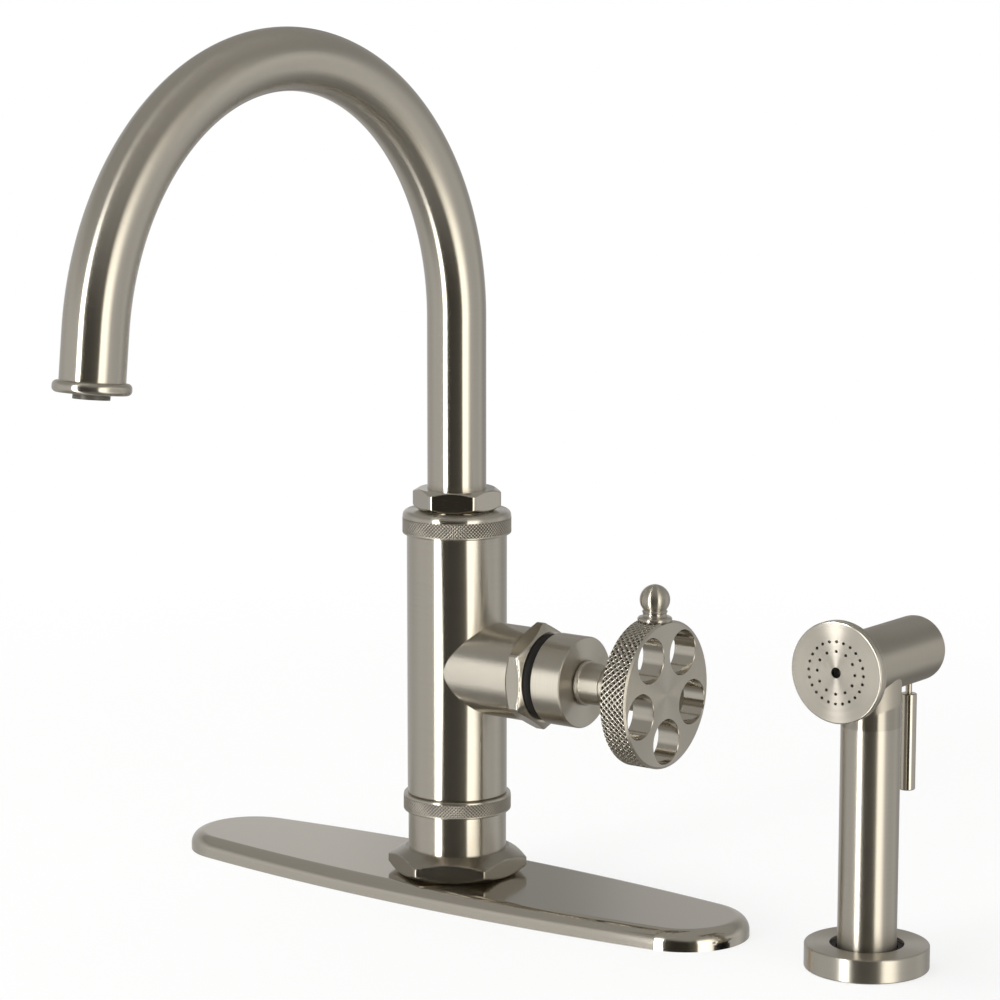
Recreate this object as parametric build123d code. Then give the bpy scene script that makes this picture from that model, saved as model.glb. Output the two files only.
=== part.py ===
"""Side spray kitchen faucet: a tall swivel spout on a column with a side wheel handle, a deck
plate under it, and a separate pull-out side spray standing in its own deck holder.

Millimetres, +Z up. The origin is the axis of the faucet's mounting shank at the deck surface.
The spout points to -Y, the handle to +X, and the deck plate lies along X.
"""
from build123d import *
import os
from math import asin, cos, pi, radians, sin, sqrt, tan

# ---- Fits -------------------------------------------------------------------------------------
screwed = 0.02            # radial gap of threads, pressed and brazed joints
running = 0.08            # radial gap of a piece that turns or slides in another
end_gap = 0.1             # gap between flat faces that move on each other
loose = 0.3               # gap round soft pieces and lift-off pieces

# ---- Deck and mounting shank ------------------------------------------------------------------
deck_thickness = 12.0
shank_radius = 16.0
shank_bore = 12.5
shank_drop = 48.0
washer_radius = 24.0
rubber_washer_height = 3.0
steel_washer_height = 1.5
mounting_nut_flats = 46.0
mounting_nut_height = 10.0

# ---- Deck plate -------------------------------------------------------------------------------
plate_length = 254.0
plate_width = 62.0
plate_height = 7.2
plate_end_radius = 24.0
plate_edge_round = 5.2
plate_rim = 3.4
plate_skin = 2.4
plate_boss_wall = 6.8
gasket_width = 8.0

# ---- Base: hex flange, sleeve and lower knurled ring ------------------------------------------
base_hex_flats = 46.2
base_hex_height = 9.6
base_hex_top_land = 19.6
base_hex_bottom_land = 21.9
base_hex_lip = 3.6
flange_seal_radius = 19.0
flange_seal_width = 2.4
flange_seal_height = 1.2
sleeve_radius = 18.5
sleeve_height = 13.2
spigot_radius = 14.9
lower_ring_radius = 20.3
lower_ring_height = 7.9
ring_edge_round = 0.8

# ---- Valve body: column, neck and side branch -------------------------------------------------
column_radius = 18.75
column_height = 97.9
column_reveal = 0.5
neck_radius = 13.4
neck_height = 14.4
socket_depth = 45.7
branch_radius = 17.4
branch_rise = 48.55       # from the branch's axis up to the column's top
manifold_insert = 6.0     # length of the hose manifold inside the column
branch_reach = 35.4
branch_neck_radius = 15.0
branch_neck_length = 4.6
chamber_radius = 13.2
chamber_floor = 9.0       # from the column's axis
hose_thread_radius = 4.5
hose_thread_depth = 9.0
hose_circle = 6.6
supply_bore = 2.6
port_spread = 5.7
port_drop = 3.5
outlet_rise = 6.5
passage_bore = 2.4
spray_passage_bore = 1.9
spray_cross_bore = 1.5
spray_passage_offset = 8.7
diverter_radius = 5.0
diverter_height = 7.5
diverter_offset = 1.0
diverter_wall = 1.8
diverter_lip = 1.0
diverter_lip_reach = 0.8
diverter_piston_height = 4.0
diverter_piston_wall = 1.2

# ---- Upper knurled ring and spout nut ---------------------------------------------------------
upper_ring_radius = 20.6
upper_ring_height = 10.1
upper_ring_shoulder = 3.6
spout_nut_flats = 29.44
spout_nut_height = 7.8
spout_nut_land = 14.3
nut_reveal = 0.3

# ---- Spout ------------------------------------------------------------------------------------
tube_radius = 11.0
tube_wall = 1.2
riser_height = 82.2       # from the column's top to the start of the arch
arch_radius = 96.8
arch_end_angle = 173.5    # degrees swept by the arch
spout_tail = 19.7
tube_seat = 10.9
connector_radius = 12.0
connector_bore = 8.8
o_ring_wire = 0.7
o_ring_groove_width = 1.9
o_ring_heights = (8.5, 18.5)
split_ring_height = 1.1
split_ring_slit = 1.2
outlet_radius = 13.1
outlet_height = 4.0
outlet_lip = 0.6
outlet_lip_radius = 8.6
outlet_round = 1.7
aerator_length = 9.0
aerator_nose_radius = 6.2
aerator_nose_length = 2.4
aerator_bore = 4.6
aerator_floor = 2.0
aerator_feed_count = 6
aerator_feed_circle = 2.8
aerator_feed_radius = 0.8
aerator_plate = 1.2
screen_height = 1.0
screen_hole = 0.6
screen_pitch = 1.9
screen_rings = 3

# ---- Bonnet nut and dust cover ----------------------------------------------------------------
bonnet_flats = 35.2
bonnet_width = 7.1
bonnet_land = 16.9
bonnet_bore = 13.9
cover_radius = 16.0
cover_flange = 0.8
cover_reach = 5.7
cover_mouth = 8.2
cover_waist_radius = 13.6
cover_waist_reach = 3.7
cover_wall = 1.3

# ---- Ceramic cartridge ------------------------------------------------------------------------
seal_stand = 0.2
seal_height = 1.2
seal_wall = 1.0
cartridge_radius = 12.9
cartridge_base_height = 4.8
fixed_disc_radius = 9.6
fixed_disc_height = 3.0
moving_disc_radius = 7.4
moving_disc_height = 2.5
mixing_recess = 1.2
mixing_rim = 1.8
disc_port_bore = 1.9
disc_port_draw = 0.8      # the disc's ports lie this share as far out as the base's
carrier_radius = 8.0
carrier_height = 4.0
housing_bore = 10.38
housing_length = 19.0
housing_web = 1.9
housing_mouth = 7.88
cartridge_nut_height = 5.0
cartridge_nut_bore = 9.0
turret_height = 6.4
turret_neck_length = 7.5
stem_slot_width = 7.2
stem_slot_half_length = 5.0
pivot_reach = 29.0        # from the column's axis to the stem's pivot
stem_ball_radius = 2.6
stem_ball_arm = 6.6
stem_ball_clearance = 0.1
stem_neck_radius = 1.8
stem_block = 7.0
stem_square = 6.0
stem_pin_radius = 1.25
stem_pin_length = 17.0
tilt_limit = 10.0         # degrees

# ---- Handle -----------------------------------------------------------------------------------
hub_gap = 3.7
hub_radius = 16.9
hub_length = 12.8
hub_skirt_bore = 14.9
hub_skirt_depth = 5.3
hub_edge = 0.4
stem_grip = 4.7           # length of the square end inside the hub
set_screw_radius = 2.5
set_screw_sink = 2.6
set_screw_key = 2.5
set_screw_back = 4.8      # from the hub's front face
handle_stem_radius = 7.6
handle_stem_length = 25.0
handle_stem_flange_radius = 8.4
handle_stem_flange = 2.3
handle_stem_flange_edge = 0.8
handle_stem_groove = 10.5
handle_stem_groove_width = 0.8
handle_stem_groove_depth = 0.5
handle_spigot_radius = 4.0
hub_spigot_length = 2.2
wheel_spigot_length = 7.0
wheel_radius = 27.0
wheel_width = 11.0
wheel_edge = 0.5
wheel_hole_radius = 8.2
wheel_hole_circle = 17.3
wheel_hole_count = 5
knob_seat = 0.7           # depth of the flat cut in the rim
knob_collar_radius = 6.1
knob_collar_height = 2.3
knob_collar_round = 0.8
knob_neck_radius = 3.9
knob_neck_foot_radius = 4.7
knob_neck_height = 2.0
knob_ball_radius = 5.45
knob_spigot_radius = 2.0
knob_spigot_length = 4.6

# ---- Side spray: place and holder -------------------------------------------------------------
spray_x = 177.0
spray_y = 4.5
holder_radius = 22.0
holder_height = 8.6
holder_edge = 0.6
holder_shank_radius = 13.1
holder_shank_wall = 1.1
holder_shank_rise = 3.5
holder_shank_drop = 42.0
holder_gasket_inner = 15.2
holder_gasket_outer = 20.6
holder_gasket_height = 1.0
holder_washer_radius = 19.0
holder_washer_height = 1.5
holder_nut_flats = 33.0
holder_nut_height = 6.0
liner_depth = 15.0
liner_rise = 3.0
liner_ledge = 1.4
liner_ledge_bore = 9.4

# ---- Wand and spray head ----------------------------------------------------------------------
head_height = 109.0       # spray head's axis above the deck
wand_radius = 10.45
wand_wall = 1.45
neck_seam_drop = 22.5     # from the head's axis to the seam with the tube
neck_spigot_length = 6.0
hose_socket_radius = 5.6
hose_socket_depth = 11.0
hose_connector_length = 21.3
hose_passage = 3.0
inner_tube_radius = 6.0
inner_tube_wall = 1.5
inner_tube_socket = 7.0
check_valve_height = 4.0
check_valve_ports = 3
check_valve_port = 1.3
check_valve_circle = 3.4
head_radius = 11.6
head_bore = 8.6
face_reach = 24.0         # from the wand's axis forward to the spray face
face_radius = 17.8
face_thickness = 1.6
face_edge = 0.5
face_skirt_radius = 13.4
face_skirt_wall = 1.4
face_skirt_length = 1.5
head_flange = 3.0
head_flange_round = 1.6
head_flare_length = 6.0
head_flare_radius = 14.6
face_seal_height = 0.9
outer_jets = 24
outer_jet_circle = 10.8
inner_jets = 12
inner_jet_circle = 7.4
jet_radius = 0.55
centre_jet_radius = 1.9
cap_seam_reach = 20.6     # from the wand's axis back to the rear cap's seam
cap_length = 12.4
cap_round = 3.2
cap_spigot_length = 4.0
cap_web = 2.4
cap_end_wall = 1.7
cap_cavity = 9.2

# ---- Spray valve and lever --------------------------------------------------------------------
seat_reach = 12.0         # front of the valve seat, forward of the wand's axis
seat_height = 4.0
seat_hole = 3.4
pad_radius = 5.2
pad_height = 1.6
plunger_flange = 1.4
plunger_radius = 2.0
plunger_collar_radius = 3.6
plunger_collar = 1.0
spring_radius = 3.9
spring_wire = 0.45
spring_turns = 7
lever_reach = 26.0        # from the wand's axis back to the lever
lever_pivot_drop = 10.2   # below the head's axis
lever_pin_radius = 0.7
lever_pin_length = 8.0
lever_pin_clearance = 0.06
lever_barrel_radius = 1.6
lever_barrel_length = 3.0
lever_slot_play = 0.2
lever_swing_room = 0.6
lever_neck_radius = 1.15
lever_neck_length = 4.0   # below the head's underside
lever_rod_radius = 2.9
lever_rod_length = 34.8
lever_rod_round = 0.5
finger_thickness = 2.2
finger_width = 8.0
finger_foot = 7.6         # finger's lower end, below the head's axis
finger_rise = 2.5         # finger's top, above the head's axis
finger_play = 0.2
fork_play = 0.3

# ---- Heights and reaches that follow ----------------------------------------------------------
hex_top = plate_height + base_hex_height
shank_top = hex_top - base_hex_lip
sleeve_top = hex_top + sleeve_height
column_foot = sleeve_top + lower_ring_height
column_top = column_foot + column_height
neck_top = column_top + neck_height
socket_radius = connector_radius + running
socket_floor = neck_top - socket_depth
branch_height = column_top - branch_rise
manifold_top = column_foot + manifold_insert
connector_foot = socket_floor + end_gap
connector_top = neck_top - split_ring_height - 2 * end_gap
tube_foot = connector_top - tube_seat
tube_bore = tube_radius - tube_wall
arch_height = column_top + riser_height
bonnet_front = branch_reach + bonnet_width
branch_end = branch_reach + branch_neck_length
base_foot = chamber_floor + seal_stand
base_top = base_foot + cartridge_base_height
fixed_disc_top = base_top + fixed_disc_height
moving_disc_foot = fixed_disc_top + end_gap / 2
carrier_foot = moving_disc_foot + moving_disc_height
carrier_top = carrier_foot + carrier_height
housing_top = base_top + housing_length
turret_top = housing_top - housing_web - end_gap
turret_foot = turret_top - turret_height
ball_reach = pivot_reach - stem_ball_arm
hub_back = bonnet_front + hub_gap
hub_front = hub_back + hub_length
hub_web_back = hub_back + hub_skirt_depth
set_screw_reach = hub_front - set_screw_back
wheel_back = hub_front + handle_stem_length
wheel_front = wheel_back + wheel_width
wheel_middle = wheel_back + wheel_width / 2
seam_height = head_height - neck_seam_drop
wand_bore = wand_radius - wand_wall
wand_foot = -liner_depth + liner_ledge + loose
connector_end = wand_foot + hose_connector_length
seat_back = -seat_reach + seat_height
pad_foot = seat_back + end_gap
plunger_foot = pad_foot + pad_height
spring_foot = plunger_foot + plunger_flange
spigot_foot = cap_seam_reach - cap_spigot_length
cap_web_back = cap_seam_reach + cap_web
cap_back = cap_seam_reach + cap_length
collar_front = lever_reach + finger_thickness / 2 + finger_play

os.makedirs("parts", exist_ok=True)


# ---- Shape helpers ----------------------------------------------------------------------------
def save(node, shape):
    """Write one sub-part under its node's name."""
    export_step(shape, f"parts/{node}.step")


def rod(radius, low, high):
    """A plain round bar standing on the Z axis."""
    return Pos(0, 0, low) * Cylinder(radius, high - low, align=(Align.CENTER, Align.CENTER, Align.MIN))


def ring(outer, inner, low, high):
    """A plain tube or washer on the Z axis."""
    return rod(outer, low, high) - rod(inner, low - 1, high + 1)


def turned(corners):
    """A turned piece from the (radius, height) corners of its half outline."""
    outline = Polyline([(radius, 0, height) for radius, height in corners], close=True)
    return revolve(make_face(outline), Axis.Z)


def pin_circle(count, circle, radius, low, high):
    """Equally spaced pins round the Z axis, to cut a ring of holes with."""
    return [Rot(0, 0, 360 * n / count) * Pos(circle, 0, 0) * rod(radius, low, high) for n in range(count)]


def rounded_rod(radius, low, high, low_round=0.0, high_round=0.0):
    """A round bar with rounded end edges."""
    bar = rod(radius, low, high)
    edges = bar.edges().filter_by(GeomType.CIRCLE).sort_by(Axis.Z)
    if low_round:
        bar = fillet(edges[0], low_round)
        edges = bar.edges().filter_by(GeomType.CIRCLE).sort_by(Axis.Z)
    if high_round:
        bar = fillet(edges[-1], high_round)
    return bar


def hexagon(flats, low, high, low_land, high_land, turn):
    """A hexagon bar whose corners are cut back by 30 degree cones from a round land at each end."""
    outline = RegularPolygon(flats / 2, 6, major_radius=False, rotation=turn)
    blank = Pos(0, 0, low) * extrude(outline, high - low)
    reach = flats / 2 / cos(pi / 6) + 0.5
    slope = tan(pi / 6)
    envelope = turned([
        (0, low), (low_land, low), (reach, low + (reach - low_land) * slope),
        (reach, high - (reach - high_land) * slope), (high_land, high), (0, high),
    ])
    return blank & envelope


def on_branch(shape):
    """Lay a piece built along Z onto the side branch, pointing to +X; its -X side comes to the top."""
    return Pos(0, 0, branch_height) * Rot(0, 90, 0) * shape


def at_spray(shape):
    """Move a piece from the spray's own axis to its place on the deck."""
    return Pos(spray_x, spray_y, 0) * shape


def on_head(shape):
    """Lay a piece built along Z onto the spray head's axis, pointing back; its +Y side comes underneath."""
    return at_spray(Pos(0, 0, head_height) * Rot(-90, 0, 0) * shape)


def plate_outline(inset):
    """The deck plate's outline: two end arcs and two long side arcs, all tangent."""
    end_x = plate_length / 2 - plate_end_radius
    half = plate_width / 2
    side_radius = (end_x**2 + half**2 - plate_end_radius**2) / (2 * (half - plate_end_radius))
    side_y = side_radius - half
    lean = sqrt(end_x**2 + side_y**2)
    join_x = (side_radius - inset) * end_x / lean
    join_y = (side_radius - inset) * side_y / lean - side_y
    tip_x = plate_length / 2 - inset
    back = ThreePointArc((-join_x, join_y), (0, half - inset), (join_x, join_y))
    right = ThreePointArc((join_x, join_y), (tip_x, 0), (join_x, -join_y))
    front = ThreePointArc((join_x, -join_y), (0, -half + inset), (-join_x, -join_y))
    left = ThreePointArc((-join_x, -join_y), (-tip_x, 0), (-join_x, join_y))
    return make_face([back, right, front, left])


# ---- Deck plate and what clamps it ------------------------------------------------------------
def deck_plate():
    plate = extrude(plate_outline(0), plate_height)
    plate = fillet(plate.edges().group_by(Axis.Z)[-1], plate_edge_round)
    ceiling = plate_height - plate_skin
    hollow = extrude(plate_outline(plate_rim), ceiling)
    boss = rod(shank_radius + loose + plate_boss_wall, 0, ceiling)
    return plate - (hollow - boss) - rod(shank_radius + loose, -1, plate_height + 1)


def plate_gasket():
    height = plate_height - plate_skin
    gasket = extrude(plate_outline(plate_rim + loose), height)
    gasket -= extrude(plate_outline(plate_rim + loose + gasket_width), height)
    return gasket - rod(shank_radius + plate_boss_wall + 2 * loose, -1, height + 1)


def mounting_shank():
    return ring(shank_radius, shank_bore, -shank_drop, shank_top)


def rubber_washer():
    return ring(washer_radius, shank_radius + loose, -deck_thickness - rubber_washer_height, -deck_thickness)


def steel_washer():
    top = -deck_thickness - rubber_washer_height
    return ring(washer_radius, shank_radius + loose, top - steel_washer_height, top)


def mounting_nut():
    top = -deck_thickness - rubber_washer_height - steel_washer_height
    land = mounting_nut_flats / 2 - 0.5
    nut = hexagon(mounting_nut_flats, top - mounting_nut_height, top, land, land, 30)
    return nut - rod(shank_radius + screwed, top - mounting_nut_height - 1, top + 1)


def base_hex_flange():
    flange = hexagon(base_hex_flats, plate_height, hex_top, base_hex_bottom_land, base_hex_top_land, 30)
    flange -= rod(shank_radius + screwed, plate_height - 1, shank_top)
    flange -= rod(spigot_radius + screwed, shank_top - 1, hex_top + 1)
    return flange - seal_ring(flange_seal_width / 2 + 0.1)


def seal_ring(half):
    """The ring under the hex flange, or the groove for it, with half its width."""
    top = plate_height + flange_seal_height
    return ring(flange_seal_radius + half, flange_seal_radius - half, plate_height, top)


def flange_seal():
    return seal_ring(flange_seal_width / 2)


def lower_sleeve():
    return ring(sleeve_radius, spigot_radius + screwed, hex_top, sleeve_top)


def lower_knurled_ring():
    body = rounded_rod(lower_ring_radius, sleeve_top, column_foot, ring_edge_round, ring_edge_round)
    return body - rod(spigot_radius + screwed, sleeve_top - 1, column_foot + 1)


# ---- Hose manifold and valve body -------------------------------------------------------------
def hose_place(index):
    """The three hose threads in the manifold's foot: hot, cold and side spray."""
    angle = radians((-60, 60, 180)[index])
    return hose_circle * cos(angle), hose_circle * sin(angle)


def hose_manifold():
    body = rod(spigot_radius, shank_top, manifold_top)
    thread_top = shank_top + hose_thread_depth
    for index, bore in ((0, supply_bore), (1, supply_bore), (2, 0)):
        x, y = hose_place(index)
        body -= Pos(x, y, 0) * rod(hose_thread_radius, shank_top - 1, thread_top)
        if bore:
            body -= Pos(x, y, 0) * rod(bore, thread_top - 1, manifold_top + 1)
    return body - Pos(-spray_passage_offset, 0, 0) * rod(spray_passage_bore, thread_top - 1, manifold_top + 1)


def valve_body():
    body = turned([
        (0, column_foot), (column_radius - column_reveal, column_foot),
        (column_radius, column_foot + column_reveal), (column_radius, column_top),
        (neck_radius, column_top), (neck_radius, neck_top), (0, neck_top),
    ])
    body += on_branch(rod(branch_radius, 0, branch_reach))
    body += on_branch(rod(branch_neck_radius, 0, branch_end))
    body -= on_branch(rod(chamber_radius, chamber_floor, branch_end + 1))
    body -= rod(socket_radius, socket_floor, neck_top + 1)
    body -= rod(spigot_radius + screwed, column_foot - 1, manifold_top)
    port_height = branch_height - port_drop
    for index, side in ((0, -1), (1, 1)):
        x, y = hose_place(index)
        body -= Pos(x, y, 0) * rod(supply_bore, manifold_top - 1, port_height)
        feed = Pos(0, side * port_spread, -port_drop) * on_branch(rod(passage_bore, x, chamber_floor + 1))
        body -= feed
    body -= Pos(0, 0, outlet_rise) * on_branch(rod(passage_bore, diverter_offset, chamber_floor + 1))
    diverter_foot = socket_floor - diverter_height
    body -= Pos(diverter_offset, 0, 0) * rod(passage_bore, branch_height + outlet_rise, diverter_foot + 1)
    body -= Pos(diverter_offset, 0, 0) * rod(diverter_radius, diverter_foot, socket_floor + 1)
    spray_height = socket_floor - diverter_height / 2
    body -= Pos(-spray_passage_offset, 0, 0) * rod(spray_passage_bore, manifold_top - 1, spray_height)
    cross = Rot(0, 90, 0) * rod(spray_cross_bore, -spray_passage_offset, diverter_offset)
    body -= Pos(0, 0, spray_height) * cross
    return body


def diverter_sleeve():
    foot = socket_floor - diverter_height
    bore = diverter_radius - diverter_wall
    outer = diverter_radius - screwed
    sleeve = ring(outer, bore, foot, socket_floor)
    sleeve += ring(outer, bore - diverter_lip_reach, socket_floor - diverter_lip, socket_floor)
    side_port = Rot(0, -90, 0) * rod(spray_cross_bore, 0, diverter_radius + 1)
    return Pos(diverter_offset, 0, 0) * (sleeve - Pos(0, 0, socket_floor - diverter_height / 2) * side_port)


def diverter_piston():
    foot = socket_floor - diverter_height + end_gap
    radius = diverter_radius - diverter_wall - running
    piston = rod(radius, foot, foot + diverter_piston_height)
    piston -= rod(radius - diverter_piston_wall, foot + diverter_piston_wall, foot + diverter_piston_height + 1)
    return Pos(diverter_offset, 0, 0) * piston


# ---- Top of the column ------------------------------------------------------------------------
def upper_knurled_ring():
    top = column_top + upper_ring_height
    body = rounded_rod(upper_ring_radius, column_top, top, ring_edge_round, upper_ring_shoulder)
    return body - rod(neck_radius + screwed, column_top - 1, top + 1)


def spout_hex_nut():
    foot = column_top + upper_ring_height + nut_reveal
    top = foot + spout_nut_height
    nut = hexagon(spout_nut_flats, foot, top, spout_nut_land, spout_nut_land, 30)
    nut -= rod(neck_radius + screwed, foot - 1, neck_top)
    return nut - rod(tube_radius + running, neck_top - 1, top + 1)


# ---- Spout ------------------------------------------------------------------------------------
def arch_end():
    """Where the arch stops: its point on the tube's centre line and the direction there."""
    angle = radians(arch_end_angle)
    point = Vector(0, -arch_radius * (1 - cos(angle)), arch_height + arch_radius * sin(angle))
    heading = Vector(0, -sin(angle), cos(angle))
    return point, heading


def at_tip(shape):
    """Move a piece built along Z onto the spout's open end, pointing out of it."""
    point, heading = arch_end()
    tip = Plane(origin=point + heading * spout_tail, x_dir=(1, 0, 0), z_dir=heading)
    return tip.location * shape


def spout_tube():
    point, heading = arch_end()
    crown = (0, -arch_radius, arch_height + arch_radius)
    riser = Line((0, 0, tube_foot), (0, 0, arch_height))
    arch = ThreePointArc((0, 0, arch_height), crown, point)
    tail = Line(point, point + heading * spout_tail)
    section = Pos(0, 0, tube_foot) * (Circle(tube_radius) - Circle(tube_bore))
    return sweep(section, path=riser + arch + tail)


def spout_connector():
    connector = ring(connector_radius, connector_bore, connector_foot, connector_top)
    connector -= rod(tube_radius + screwed, tube_foot, connector_top + 1)
    for height in o_ring_heights:
        middle = connector_foot + height
        half = o_ring_groove_width / 2
        floor = socket_radius - 0.05 - 2 * o_ring_wire - screwed
        connector -= ring(connector_radius + 1, floor, middle - half, middle + half)
    return connector


def spout_o_rings():
    centre = socket_radius - 0.05 - o_ring_wire
    rings = [Pos(0, 0, connector_foot + height) * Torus(centre, o_ring_wire) for height in o_ring_heights]
    return Compound(children=rings)


def split_ring():
    foot = connector_top + end_gap
    whole = ring(connector_radius, tube_radius + running, foot, foot + split_ring_height)
    slit = Pos(0, connector_radius, foot) * Box(split_ring_slit, 2 * connector_radius, 3 * split_ring_height)
    return whole - slit


def outlet_ring():
    back = outlet_lip - outlet_height
    body = rounded_rod(outlet_radius, back, outlet_lip, outlet_round, outlet_round)
    body -= rod(tube_radius + screwed, back - 1, 0)
    return at_tip(body - rod(outlet_lip_radius, -1, outlet_lip + 1))


def aerator_body():
    floor = -aerator_length + aerator_floor
    cup = rod(tube_bore - screwed, -aerator_length, 0)
    cup += rod(aerator_nose_radius, 0, aerator_nose_length)
    cup -= rod(aerator_bore, floor, -aerator_plate)
    cup -= rod(aerator_bore, 0, aerator_nose_length + 1)
    cup -= screen_pins(-aerator_plate - 1, 1)
    back = -aerator_length - 1
    cup -= pin_circle(aerator_feed_count, aerator_feed_circle, aerator_feed_radius, back, floor + 1)
    return at_tip(cup)


def screen_pins(low, high):
    """Rings of small pins round a middle one, to cut a screen's holes with."""
    pins = [rod(screen_hole, low, high)]
    for row in range(1, screen_rings):
        pins += pin_circle(6 * row, row * screen_pitch, screen_hole, low, high)
    return pins


def aerator_screen():
    foot = -aerator_length - screen_height
    return at_tip(rod(tube_bore - screwed, foot, -aerator_length) - screen_pins(foot - 1, -aerator_length + 1))


# ---- Bonnet nut and dust cover ----------------------------------------------------------------
def bonnet_hex_nut():
    nut = hexagon(bonnet_flats, branch_reach, bonnet_front, bonnet_land, bonnet_land, 0)
    nut -= rod(branch_neck_radius + screwed, branch_reach - 1, branch_end)
    return on_branch(nut - rod(bonnet_bore, branch_end - 1, bonnet_front + 1))


def dust_cover():
    flange_top = bonnet_front + cover_flange
    mouth_top = bonnet_front + cover_reach
    waist = (cover_waist_radius, 0, bonnet_front + cover_waist_reach)
    spigot = bonnet_bore - screwed
    foot = Polyline([
        (cover_radius, 0, flange_top), (cover_radius, 0, bonnet_front), (spigot, 0, bonnet_front),
        (spigot, 0, branch_end), (bonnet_bore - cover_wall, 0, branch_end),
        (bonnet_bore - cover_wall, 0, bonnet_front),
    ])
    inner = Polyline([
        (bonnet_bore - cover_wall, 0, bonnet_front),
        (cover_waist_radius - cover_wall, 0, bonnet_front + cover_waist_reach - cover_wall),
        (cover_mouth, 0, mouth_top - cover_wall), (cover_mouth, 0, mouth_top),
    ])
    dome = ThreePointArc((cover_mouth, 0, mouth_top), waist, (cover_radius, 0, flange_top))
    return on_branch(revolve(make_face([foot, inner, dome]), Axis.Z))


# ---- Cartridge --------------------------------------------------------------------------------
def port_places():
    """The cartridge's hot, cold and outlet ports in the branch's own frame, where -X is up."""
    return ((port_drop, -port_spread), (port_drop, port_spread), (-outlet_rise, 0))


def cartridge_seals():
    outer = passage_bore + seal_wall
    seals = [on_branch(Pos(x, y, 0) * ring(outer, passage_bore, chamber_floor, chamber_floor + seal_height))
             for x, y in port_places()]
    return Compound(children=seals)


def cartridge_base():
    base = rod(cartridge_radius, base_foot, base_top)
    pocket = rod(passage_bore + seal_wall + screwed, base_foot - 1, chamber_floor + seal_height)
    for x, y in port_places():
        base -= Pos(x, y, 0) * rod(passage_bore, base_foot - 1, base_top + 1)
        base -= Pos(x, y, 0) * pocket
    return on_branch(base)


def fixed_disc():
    disc = rod(fixed_disc_radius, base_top, fixed_disc_top)
    port = rod(disc_port_bore, base_top - 1, fixed_disc_top + 1)
    for x, y in port_places():
        disc -= Pos(x * disc_port_draw, y * disc_port_draw, 0) * port
    return on_branch(disc)


def moving_disc():
    disc = rod(moving_disc_radius, moving_disc_foot, carrier_foot)
    recess = rod(moving_disc_radius - mixing_rim, moving_disc_foot - 1, moving_disc_foot + mixing_recess)
    return on_branch(disc - recess)


def disc_carrier():
    carrier = rod(carrier_radius, carrier_foot, carrier_top)
    return on_branch(carrier - rod(stem_ball_radius + stem_ball_clearance, carrier_foot - 1, carrier_top + 1))


def cartridge_housing():
    housing = rod(cartridge_radius, base_top, housing_top)
    housing -= rod(housing_bore, base_top - 1, housing_top - housing_web)
    return on_branch(housing - rod(housing_mouth, base_top - 1, housing_top + 1))


def cartridge_nut():
    top = housing_top + cartridge_nut_height
    return on_branch(ring(chamber_radius - screwed, cartridge_nut_bore, housing_top, top))


def cartridge_turret():
    turret = rod(housing_bore - running, turret_foot, turret_top)
    turret += rod(housing_mouth - running, turret_foot, turret_top + turret_neck_length)
    slot = Box(2 * stem_slot_half_length, stem_slot_width, 2 * (turret_height + turret_neck_length))
    turret -= Pos(0, 0, pivot_reach) * slot
    pin_hole = Rot(90, 0, 0) * Cylinder(stem_pin_radius + screwed, stem_pin_length + 2 * screwed)
    return on_branch(turret - Pos(0, 0, pivot_reach) * pin_hole)


def stem_pin():
    return on_branch(Pos(0, 0, pivot_reach) * Rot(90, 0, 0) * Cylinder(stem_pin_radius, stem_pin_length))


def cartridge_stem():
    block_half = stem_block / 2
    stem = Pos(0, 0, ball_reach) * Sphere(stem_ball_radius)
    stem += rod(stem_neck_radius, ball_reach, pivot_reach)
    stem += Pos(0, 0, pivot_reach) * Box(stem_block, stem_block, stem_block)
    bar_end = hub_web_back + stem_grip
    bar_foot = pivot_reach + block_half
    stem += Pos(0, 0, (bar_foot + bar_end) / 2) * Box(stem_square, stem_square, bar_end - bar_foot)
    pin_hole = Rot(90, 0, 0) * Cylinder(stem_pin_radius + running, stem_block + 2)
    return on_branch(stem - Pos(0, 0, pivot_reach) * pin_hole)


# ---- Handle -----------------------------------------------------------------------------------
def handle_hub():
    hub = turned([
        (0, hub_back), (hub_radius - hub_edge, hub_back), (hub_radius, hub_back + hub_edge),
        (hub_radius, hub_front - hub_edge), (hub_radius - hub_edge, hub_front), (0, hub_front),
    ])
    hub -= rod(hub_skirt_bore, hub_back - 1, hub_web_back)
    socket_end = hub_web_back + stem_grip + 2 * screwed
    side = stem_square + 2 * screwed
    hub -= Pos(0, 0, (hub_web_back + socket_end) / 2 - 0.5) * Box(side, side, socket_end - hub_web_back + 1)
    hub -= rod(handle_spigot_radius + screwed, hub_front - hub_spigot_length - screwed, hub_front + 1)
    screw_hole = Rot(0, 90, 0) * rod(set_screw_radius + screwed, stem_square / 2 - 0.5, hub_radius + 1)
    return on_branch(hub - Pos(0, 0, set_screw_reach) * screw_hole)


def set_screw():
    outer = hub_radius - set_screw_sink
    screw = rod(set_screw_radius, stem_square / 2, outer)
    key = Pos(0, 0, outer - 3) * extrude(RegularPolygon(set_screw_key / 2, 6, major_radius=False), 4)
    return on_branch(Pos(0, 0, set_screw_reach) * Rot(0, 90, 0) * (screw - key))


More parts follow.
